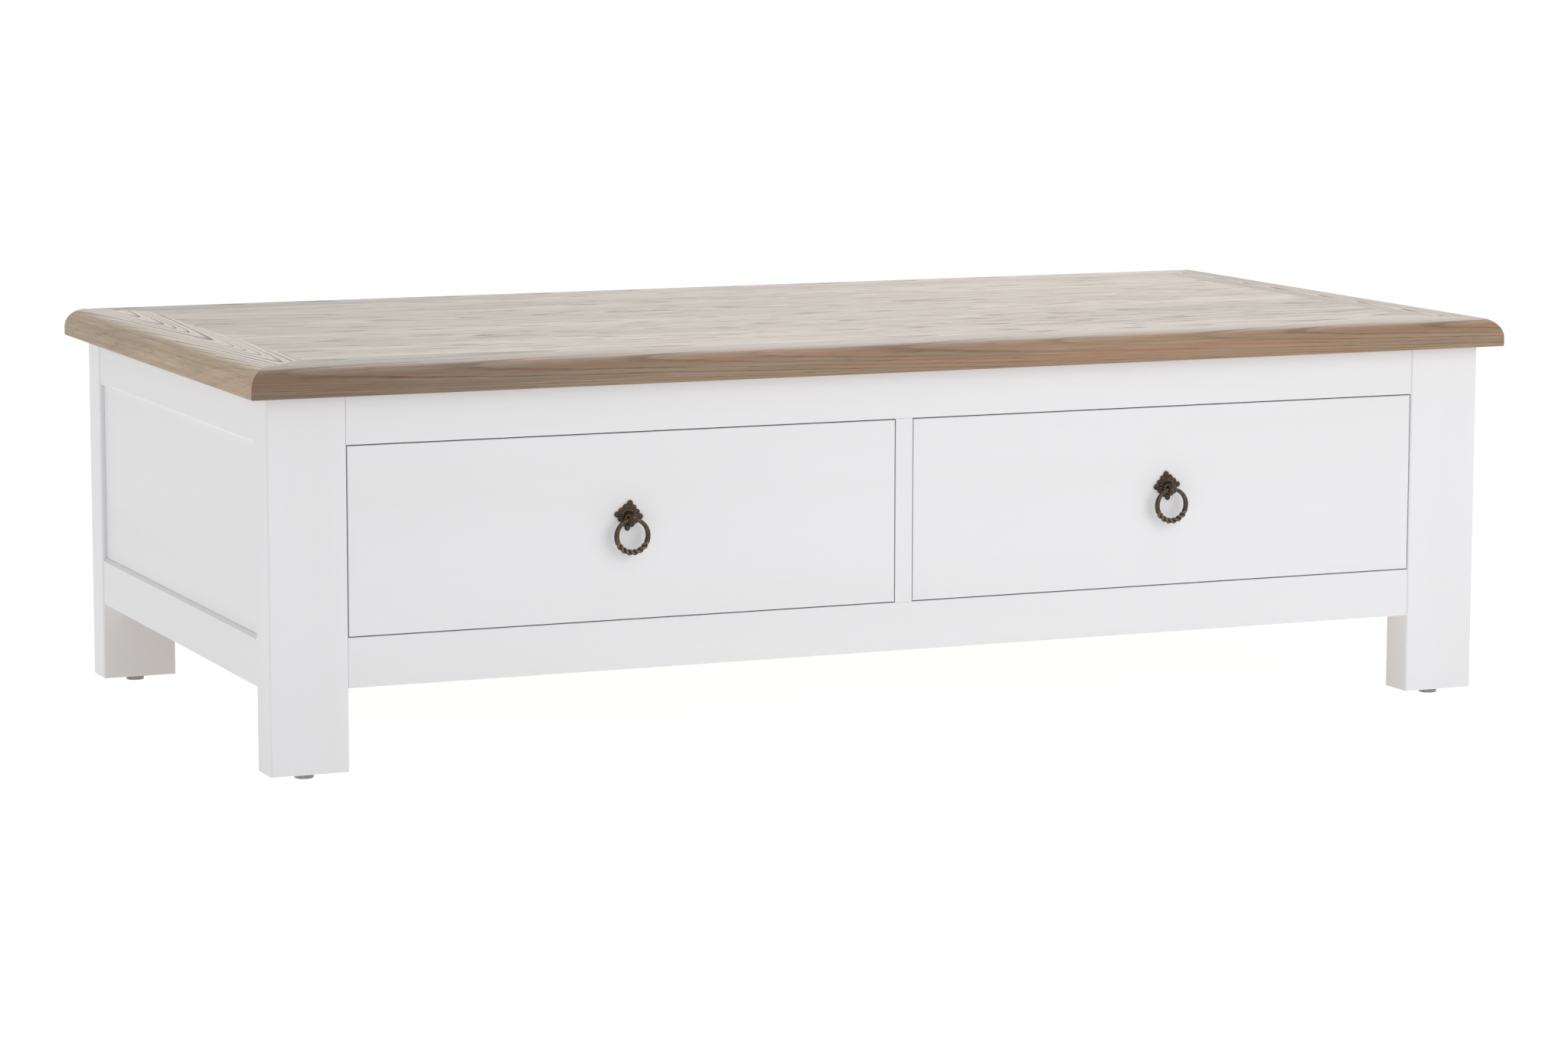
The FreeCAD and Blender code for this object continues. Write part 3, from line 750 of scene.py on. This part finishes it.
def strip_faces(first_row: int, second_row: int, columns: int) -> list[tuple[int, ...]]:
    """Join two closed rows of points with quads.

    Args:
        first_row: Number of the first row's first point.
        second_row: Number of the second row's first point.
        columns: Number of points in a row.

    Returns:
        The faces.
    """
    faces = []
    for column in range(columns):
        after = (column + 1) % columns
        faces.append((first_row + column, first_row + after, second_row + after, second_row + column))
    return faces


def fan_faces(tip: int, row: int, columns: int) -> list[tuple[int, ...]]:
    """Close a row of points with triangles that meet in a point.

    Args:
        tip: Number of the point.
        row: Number of the row's first point.
        columns: Number of points in the row.

    Returns:
        The faces.
    """
    return [(tip, row + (column + 1) % columns, row + column) for column in range(columns)]


def mesh_piece(name: str, points: np.ndarray, faces: list[tuple[int, ...]],
               material: bpy.types.Material) -> bpy.types.Object:
    """Make a smooth mesh piece.

    Args:
        name: Name of the piece.
        points: Places of its points in metres, one row each.
        faces: Numbers of each face's points.
        material: Its finish.

    Returns:
        The piece.
    """
    mesh = bpy.data.meshes.new(name)
    mesh.from_pydata(points.tolist(), [], faces)
    mesh.shade_smooth()
    mesh.materials.append(material)
    piece = bpy.data.objects.new(name, mesh)
    bpy.context.scene.collection.objects.link(piece)
    return piece


# Oak of the top, whose upper faces are painted paler: partly a limed look, partly painted sheen.
LIMED_AND_SHEEN_OAK = TimberFinish(
    name="limed_and_sheen_oak",
    tones=TAN_OAK,
    grain=Grain.ALONG,
    bleach_and_sheen_strength=0.7,
    relief_depth=0.1 * MM,
    dullness=0.2,
)
LONG_BORDER_OAK = replace(
    LIMED_AND_SHEEN_OAK,
    tones=BROWN_OAK,
    pith_depth=50 * MM,
    ring_spacing=1.8 * MM,
    line_strength=0.55,
    edge_line_strength=0.5,
    warm_strength=0.52,
    fleck_strength=0.08,
    sway=2.5 * MM,
    shade=1.07,
    left_end_shade=0.65,
)
END_BORDER_OAK = replace(
    LIMED_AND_SHEEN_OAK,
    grain=Grain.ACROSS,
    pith_depth=-9 * MM,
    ring_spacing=5.5 * MM,
    line_strength=0.9,
    edge_line_strength=0.15,
    warm_strength=0.3,
    fleck_strength=0.08,
    sway=5 * MM,
)
BORDER_OAK = {
    "top_border_front": replace(LONG_BORDER_OAK, seed=1.0, pith_across=18 * MM, taper=0.012),
    "top_border_back": replace(LONG_BORDER_OAK, seed=2.0, pith_across=4 * MM, taper=0.016),
    "top_border_left": replace(END_BORDER_OAK, seed=3.0, pith_across=-10 * MM, taper=-0.085),
    "top_border_right": replace(END_BORDER_OAK, seed=4.0, pith_across=8 * MM, taper=0.07),
}
PLANK_OAK = replace(
    LIMED_AND_SHEEN_OAK,
    pith_depth=62 * MM,
    ring_spacing=2.8 * MM,
    line_strength=0.48,
    warm_strength=0.35,
    fleck_strength=0.9,
    sway=9 * MM,
    left_end_shade=0.86,
)


@dataclass
class TableTop:
    """Oak top: five planks that run along the table inside a mitred border."""

    plank_count: int = 5
    seed_start: float = 10.0
    seed_step: float = 1.7
    pith_start: float = 35 * MM
    pith_step: float = 18 * MM
    odd_taper: float = 0.02
    even_taper: float = -0.026
    mean_shade: float = 1.03
    shade_swing: float = 0.05
    shade_turn: float = 2.4
    spline_ring_spacing: float = 2 * MM

    def plank_oak(self) -> dict[str, TimberFinish]:
        """Cut each plank of the field from another place in the log.

        Returns:
            The oak of the planks, by their nodes.
        """
        planks = {}
        for number in range(1, self.plank_count + 1):
            planks[f"top_plank_{number}"] = replace(
                PLANK_OAK,
                seed=self.seed_start + self.seed_step * number,
                pith_across=self.pith_start - self.pith_step * number,
                taper=self.odd_taper if number % 2 else self.even_taper,
                shade=self.mean_shade + self.shade_swing * math.sin(self.shade_turn * number),
            )
        return planks

    def dress(self) -> None:
        """Give each board its own piece of oak, and the mitre splines beech."""
        for node, oak in (BORDER_OAK | self.plank_oak()).items():
            dress(node, replace(oak, name=f"limed_and_sheen_oak_{node}", centre=middle_of(node)).material())
        spline = TimberFinish("spline_beech", BEECH, Grain.ALONG, ring_spacing=self.spline_ring_spacing)
        dress("mitre_splines", spline.material())


@dataclass
class PaintedCase:
    """White painted frame-and-panel case on four legs with grey glides."""

    ends: tuple[str, str] = ("front", "back")
    levels: tuple[str, str] = ("bottom", "top")

    def painted_nodes(self) -> dict[Grain, list[str]]:
        """List the painted pieces by the direction of their fibres.

        Returns:
            Names of the nodes.
        """
        upright = [f"leg_{end}_{side.value}" for end in self.ends for side in Side]
        along = [f"{end}_{level}_rail" for end in self.ends for level in self.levels]
        across = [f"side_{level}_rail_{side.value}" for level in self.levels for side in Side]
        return {
            Grain.UPRIGHT: upright + ["centre_partition"],
            Grain.ALONG: along + ["back_panel"] + [f"drawer_{side.value}_front" for side in Side],
            Grain.ACROSS: across + [f"side_panel_{side.value}" for side in Side],
        }

    def dress(self) -> None:
        """Paint the case and the drawer fronts, and finish the glides."""
        for grain, nodes in self.painted_nodes().items():
            paint = PaintFinish(f"white_paint_{grain.name.lower()}", grain).material()
            for node in nodes:
                dress(node, paint)
        plastic = GLIDE_PLASTIC.material()
        for end in self.ends:
            for side in Side:
                dress(f"glide_{end}_{side.value}", plastic)


@dataclass
class InnerFrame:
    """Bare wood inside the case: bearers, runners and blocks, with the screws that hold them."""

    timber: TimberFinish = BARE_BEECH

    def hardwood(self, grain: Grain) -> bpy.types.Material:
        """Make unfinished hardwood whose fibres run in one direction."""
        return replace(self.timber, name=f"bare_hardwood_{grain.name.lower()}", grain=grain).material()

    def dress(self) -> None:
        """Finish the bare wood and the screws."""
        across = self.hardwood(Grain.ACROSS)
        for side in Side:
            dress(f"drawer_bearer_{side.value}", across)
            for place in ("outer", "inner"):
                dress(f"runner_{side.value}_{place}", across)
        along = self.hardwood(Grain.ALONG)
        for node in ("corner_blocks", "top_fixing_blocks"):
            dress(node, along)
        steel = ZINC_STEEL.material()
        for node in ("runner_screws", "top_fixing_screws"):
            dress(node, steel)


@dataclass
class DrawerBox:
    """Bare box behind one drawer front: two sides, a back and a thin bottom."""

    side: Side
    ring_spacing: float = 6 * MM
    ply_ring_spacing: float = 24 * MM
    roughness: float = 0.55
    seeds_in_metre: float = 100.0

    def timber(self, part: str, tones: TimberTones, grain: Grain, ring_spacing: float) -> None:
        """Finish one part of the box with its own piece of wood.

        Args:
            part: Name of the part within the drawer.
            tones: Colours of the wood.
            grain: Direction of the fibres.
            ring_spacing: Distance between growth rings.
        """
        node = f"drawer_{self.side.value}_{part}"
        low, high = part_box(node)
        wood = TimberFinish(
            name=f"{node}_wood",
            tones=tones,
            grain=grain,
            centre=middle_of(node),
            seed=round(self.seeds_in_metre * (low.x + high.y), 2),
            ring_spacing=ring_spacing,
            line_strength=0.45,
            warm_strength=0.35,
            pore_strength=0.25,
            relief_depth=0.06 * MM,
            roughness=self.roughness,
        )
        dress(node, wood.material())

    def dress(self) -> None:
        """Finish the whole box."""
        for part in ("side_left", "side_right"):
            self.timber(part, PALE_PINE, Grain.ACROSS, self.ring_spacing)
        self.timber("back", PALE_PINE, Grain.ALONG, self.ring_spacing)
        self.timber("bottom", BIRCH_PLY, Grain.ALONG, self.ply_ring_spacing)


def eye_place(side: Side) -> Vector:
    """Find the middle of a pull's eye, where the ring hangs.

    Args:
        side: Drawer that the pull is on.

    Returns:
        The place in metres.
    """
    low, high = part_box(f"pull_{side.value}_eye")
    middle = (low + high) / 2
    ball_radius = (high.z - low.z) / 2
    return Vector((middle.x, low.y + ball_radius, middle.z))


def store_wear(piece: bpy.types.Object, worn: np.ndarray) -> None:
    """Store how far the patina is rubbed at each point of a casting.

    Args:
        piece: The casting.
        worn: A number from 0 to 1 for each point.
    """
    attribute = piece.data.attributes.new(Rubbing.RELIEF.value, "FLOAT", "POINT")
    attribute.data.foreach_set("value", worn.reshape(-1).astype(np.float32))


@dataclass
class Rosette:
    """Lobed casting behind one pull: petals and beads round a fluted boss."""

    side: Side
    turn: float
    rise: float = 2.5 * MM
    half_diagonal: float = 12 * MM
    notch_fill: float = 2.1 * MM
    tip_radius: float = 2.9 * MM
    tip_point: float = 3.3 * MM
    tip_width: float = 0.11
    lobe_radius: float = 3.0 * MM
    lobes_per_side: int = 2
    rim_round: float = 1.2 * MM
    plate_height: float = 1.3 * MM
    petal_height: float = 1.0 * MM
    petal_reach: float = 2.4
    petal_spread: float = 1.15
    vein_width: float = 0.2
    vein_span: Span = (-0.4, 0.6)
    vein_depth: float = 0.28
    bead_circle: float = 7.4 * MM
    bead_count: int = 18
    bead_height: float = 0.8 * MM
    bead_width: float = 0.75 * MM
    bead_dip: float = 0.38
    bead_margin: Span = (0.4 * MM, 2.0 * MM)
    boss_foot: float = 6.2 * MM
    boss_face: float = 3.6 * MM
    boss_height: float = 5.0 * MM
    flute_count: int = 10
    flute_depth: float = 0.05
    columns: int = 360
    rows: int = 60
    row_crowding: float = 1.35
    wear_columns: int = 5
    ridge_wear: float = 0.7 * MM
    height_wear: float = 9 * MM
    mean_height: float = 1.9 * MM
    front_wear: float = 0.6
    back_wear: float = 0.2

    def lobes(self) -> list[tuple[float, float, float]]:
        """List the lobes round the rosette.

        Returns:
            Place right and up from the rosette's middle, and radius, of each lobe.
        """
        tips = [(0.0, 1.0), (1.0, 0.0), (0.0, -1.0), (-1.0, 0.0)]
        pitch = self.lobes_per_side + 1
        lobes = []
        for tip, after in zip(tips, tips[1:] + tips[:1]):
            for number in range(pitch):
                right, up = (start + (end - start) * (number / pitch) for start, end in zip(tip, after))
                radius = self.lobe_radius if number else self.tip_radius
                lobes.append((right * self.half_diagonal, up * self.half_diagonal, radius))
        return lobes

    def outline(self, angle: np.ndarray) -> np.ndarray:
        """Measure the rosette from its middle to its rim.

        Args:
            angle: Directions in radians, from straight up towards the right.

        Returns:
            Distance to the rim in each direction.
        """
        right, up = np.sin(angle), np.cos(angle)
        diamond = np.abs(right) + np.abs(up)
        reach = (self.half_diagonal + self.notch_fill) / diamond
        for lobe_right, lobe_up, radius in self.lobes():
            forward = right * lobe_right + up * lobe_up
            spread = radius ** 2 - lobe_right ** 2 - lobe_up ** 2 + forward ** 2
            hit = (spread > 0.0) & (forward > 0.0)
            reach = np.where(hit, np.maximum(reach, forward + np.sqrt(np.maximum(spread, 0.0))), reach)
        point = (self.half_diagonal + self.tip_point) / diamond
        near_tip = np.minimum(np.abs(right), np.abs(up)) < self.tip_width
        return np.where(near_tip, np.maximum(reach, point), reach)

    def relief(self, right: np.ndarray, up: np.ndarray, inside: np.ndarray) -> np.ndarray:
        """Model the relief of the rosette.

        Args:
            right: Distance to the right of the rosette's middle.
            up: Distance above it.
            inside: Distance in from the rim.

        Returns:
            Height over the drawer front.
        """
        rim = 1.0 - np.clip(inside / self.rim_round, 0.0, 1.0)
        edge = np.sqrt(np.maximum(1.0 - rim * rim, 0.0))
        petals = np.zeros_like(edge)
        for lobe_right, lobe_up, radius in self.lobes():
            length = math.hypot(lobe_right, lobe_up)
            beside = (right * lobe_up - up * lobe_right) / length / radius
            along = ((right * lobe_right + up * lobe_up) / length - length) / radius
            stretched = np.where(along < 0.0, along / self.petal_reach, along)
            dome = np.sqrt(np.maximum(1.0 - (beside ** 2 + stretched ** 2) / self.petal_spread, 0.0))
            vein = np.exp(-(beside / self.vein_width) ** 2) * eased(-along, *self.vein_span)
            petal = self.petal_height * edge * (dome - self.vein_depth * vein * (dome > 0.0))
            petals = np.maximum(petals, petal)
        height = self.plate_height * edge + petals
        stem_up = up + self.rise
        out_of_boss = np.hypot(right, stem_up)
        turn = np.arctan2(right, stem_up)
        beads = 1.0 - self.bead_dip + self.bead_dip * np.cos(self.bead_count * turn)
        bead = np.exp(-((out_of_boss - self.bead_circle) / self.bead_width) ** 2)
        height = height + self.bead_height * bead * beads * eased(inside, *self.bead_margin)
        flutes = 1.0 + self.flute_depth * np.cos(self.flute_count * turn)
        slope = eased(-out_of_boss * flutes, -self.boss_foot, -self.boss_face)
        return np.maximum(height, self.plate_height + (self.boss_height - self.plate_height) * slope)

    def wear(self, height: np.ndarray) -> np.ndarray:
        """Find where hands rub the patina: on ridges and high places.

        Args:
            height: Height of each point, in rows round the middle.

        Returns:
            A number from 0 to 1 for each point, then for the middles of front and back.
        """
        steps = range(-self.wear_columns, self.wear_columns + 1)
        around = sum(np.roll(height, step, axis=1) for step in steps) / len(steps)
        ridge = (height - around) / self.ridge_wear
        worn = np.clip(0.5 + ridge + (height - self.mean_height) / self.height_wear, 0.0, 1.0)
        return np.concatenate((worn.reshape(-1), (self.front_wear, self.back_wear)))

    def build(self, metal: bpy.types.Material) -> bpy.types.Object:
        """Build the rosette as a closed casting on the drawer front.

        Args:
            metal: Its finish.

        Returns:
            The piece.
        """
        angle = np.linspace(0.0, 2.0 * math.pi, self.columns, endpoint=False)
        share = 1.0 - (1.0 - np.linspace(0.0, 1.0, self.rows + 1)[1:]) ** self.row_crowding
        reach = self.outline(angle)
        out = share[:, None] * reach[None, :]
        right, up = out * np.sin(angle), out * np.cos(angle)
        height = self.relief(right, up, reach[None, :] - out)
        centre_height = self.relief(np.zeros(1), np.zeros(1), reach[:1])[0]

        turn = math.radians(self.turn)
        up_from_stem = up + self.rise
        stem = eye_place(self.side)
        face_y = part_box(f"drawer_{self.side.value}_front")[0].y
        x = stem.x + right * math.cos(turn) + up_from_stem * math.sin(turn)
        z = stem.z - right * math.sin(turn) + up_from_stem * math.cos(turn)
        grid = np.stack((x, face_y - height, z), axis=-1).reshape(-1, 3)
        middle_x = stem.x + self.rise * math.sin(turn)
        middle_z = stem.z + self.rise * math.cos(turn)
        middles = np.array(((middle_x, face_y - centre_height, middle_z), (middle_x, face_y, middle_z)))

        last_row = (self.rows - 1) * self.columns
        faces = fan_faces(len(grid), 0, self.columns)
        for row in range(self.rows - 1):
            faces += strip_faces(row * self.columns, (row + 1) * self.columns, self.columns)
        faces += [tuple(reversed(face)) for face in fan_faces(len(grid) + 1, last_row, self.columns)]
        piece = mesh_piece(f"rosette_{self.side.value}", np.concatenate((grid, middles)), faces, metal)
        store_wear(piece, self.wear(height))
        return piece


@dataclass
class RopeRing:
    """Ring of one pull: plain wire through the eye, two twisted strands along the bottom."""

    side: Side
    ring_radius: float = 16.2 * MM
    wire_radius: float = 1.95 * MM
    shoulder_radius: float = 2.5 * MM
    shoulder_span: Span = (20.0, 95.0)
    strand_radius: float = 1.95 * MM
    strand_offset: float = 1.1 * MM
    rope_half_angle: float = 76.0
    rope_fade: float = 18.0
    rope_twist: float = 8.5
    rows: int = 540
    columns: int = 40
    groove_depth: float = 0.9 * MM
    mean_wear: float = 0.62
    groove_wear: float = 0.3
    rope_patina: float = 0.12

    def build(self, metal: bpy.types.Material) -> bpy.types.Object:
        """Build the ring as it hangs at rest.

        Args:
            metal: Its finish.

        Returns:
            The piece.
        """
        along = np.linspace(-math.pi, math.pi, self.rows, endpoint=False)[:, None]
        round_wire = np.linspace(0.0, 2.0 * math.pi, self.columns, endpoint=False)[None, :]
        from_top = np.abs(np.degrees(along))
        rope = 1.0 - eased(180.0 - from_top, self.rope_half_angle - self.rope_fade, self.rope_half_angle)
        swell = eased(from_top, *self.shoulder_span)
        wire = self.wire_radius + (self.shoulder_radius - self.wire_radius) * swell
        offset = self.strand_offset * rope
        strand = wire + (self.strand_radius - wire) * rope
        twist = round_wire + self.rope_twist * along
        radius = offset * np.abs(np.cos(twist)) + np.sqrt(strand ** 2 - (offset * np.sin(twist)) ** 2)

        eye = eye_place(self.side)
        out = self.ring_radius + radius * np.cos(round_wire)
        x = eye.x + out * np.sin(along)
        y = eye.y + radius * np.sin(round_wire)
        z = eye.z - self.ring_radius + out * np.cos(along)
        points = np.stack((x, y, z), axis=-1).reshape(-1, 3)
        faces = []
        for row in range(self.rows):
            after = (row + 1) % self.rows
            faces += strip_faces(row * self.columns, after * self.columns, self.columns)
        piece = mesh_piece(f"rope_ring_{self.side.value}", points, faces, metal)
        groove = np.clip((radius - strand) / self.groove_depth, -1.0, 1.0)
        worn = self.mean_wear + self.groove_wear * groove - self.rope_patina * rope
        store_wear(piece, np.clip(worn, 0.0, 1.0))
        return piece


@dataclass
class RingPull:
    """Cast pull of one drawer: a rosette, an eye bolt with its nut, and a ring."""

    side: Side
    rosette_turn: float

    def build(self) -> None:
        """Build the pull's castings, hang them on their bodies and finish the eye and nut."""
        name = self.side.value
        cast = BronzeFinish(f"antique_bronze_{name}", Rubbing.RELIEF).material()
        rosette = Rosette(self.side, self.rosette_turn).build(cast)
        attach(rosette, f"drawer_{name}")
        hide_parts(f"pull_{name}_plate")
        log.info("built %s", rosette.name)
        ring = RopeRing(self.side).build(cast)
        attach(ring, f"ring_{name}")
        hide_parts(f"pull_{name}_ring")
        log.info("built %s", ring.name)
        dress(f"pull_{name}_eye", BronzeFinish(f"turned_bronze_{name}", Rubbing.EVEN).material())
        dress(f"pull_{name}_nut", replace(ZINC_STEEL, name=f"nut_steel_{name}").material())


ROSETTE_TURNS = {Side.LEFT: 7.0, Side.RIGHT: -4.5}


@dataclass(frozen=True)
class SoftBox:
    """Large soft lamp."""

    name: str
    place: Point
    target: Point
    width: float
    height: float
    power: float

    def build(self) -> None:
        """Hang the lamp so that it faces its target."""
        light = bpy.data.lights.new(self.name, "AREA")
        light.shape = "RECTANGLE"
        light.size = self.width
        light.size_y = self.height
        light.energy = self.power
        lamp = bpy.data.objects.new(self.name, light)
        lamp.location = self.place
        lamp.rotation_euler = (Vector(self.target) - Vector(self.place)).to_track_quat("-Z", "Y").to_euler()
        bpy.context.scene.collection.objects.link(lamp)
        log.info("hung %s", self.name)


@dataclass
class Studio:
    """Plain white studio: floor, even light from all round, soft lamps and the camera."""

    ambient: float = 0.41
    floor_half: float = 60.0
    camera_place: Point = (-1.92398, -4.50286, 0.85052)
    camera_yaw: float = 0.40499
    camera_pitch: float = -0.13739
    camera_roll: float = -0.00175
    lens: float = 107.707
    sensor_width: float = 36.0
    lamp_target: Point = (0.0, 0.0, 0.25)

    def soft_boxes(self) -> list[SoftBox]:
        """List the lamps.

        Returns:
            Key from the front, fill from the left and a soft light overhead.
        """
        aim = self.lamp_target
        return [
            SoftBox("key_light", (0.72, -2.25, 1.1), target=aim, width=2.2, height=1.7, power=16.2),
            SoftBox("fill_light", (-3.4, 0.3, 1.0), target=aim, width=2.0, height=1.5, power=12.0),
            SoftBox("top_light", (0.5, 0.3, 3.0), target=aim, width=3.0, height=2.0, power=40.0),
        ]

    def build_floor(self) -> None:
        """Lay the floor under the glides."""
        half = self.floor_half
        corners = np.array(((-half, -half, 0.0), (half, -half, 0.0), (half, half, 0.0), (-half, half, 0.0)))
        floor = mesh_piece("studio_floor", corners, [(0, 1, 2, 3)], FloorFinish("studio_white").material())
        log.info("laid %s", floor.name)

    def build_world(self) -> None:
        """Surround the table with white: full to the eye, weaker as light."""
        world = bpy.data.worlds.new("studio_world")
        bpy.context.scene.world = world
        graph = ShaderGraph(world)
        strength = graph.math("MULTIPLY_ADD", graph.seen_directly(), 1.0 - self.ambient, self.ambient)
        light = graph.add("ShaderNodeBackground", {"Color": (1.0, 1.0, 1.0), "Strength": strength})
        graph.add("ShaderNodeOutputWorld", {"Surface": light.outputs[0]})

    def build_camera(self) -> None:
        """Place the camera at the viewing angle of the photograph."""
        camera = bpy.data.cameras.new("main_camera")
        camera.sensor_fit = "HORIZONTAL"
        camera.sensor_width = self.sensor_width
        camera.lens = self.lens
        camera.clip_end = 2.0 * self.floor_half
        holder = bpy.data.objects.new("main_camera", camera)
        holder.location = self.camera_place
        holder.rotation_euler = (math.pi / 2 + self.camera_pitch, self.camera_roll, -self.camera_yaw)
        bpy.context.scene.collection.objects.link(holder)
        bpy.context.scene.camera = holder

    def build(self) -> None:
        """Build the whole studio."""
        bpy.context.scene.view_settings.view_transform = "Standard"
        self.build_floor()
        self.build_world()
        self.build_camera()
        for soft_box in self.soft_boxes():
            soft_box.build()


def main() -> None:
    """Dress the table, build its pulls and set up the studio."""
    logging.basicConfig(level=logging.INFO, format="%(message)s")
    TableTop().dress()
    PaintedCase().dress()
    InnerFrame().dress()
    for side, turn in ROSETTE_TURNS.items():
        DrawerBox(side).dress()
        RingPull(side, turn).build()
    Studio().build()


if __name__ == "__main__":
    main()
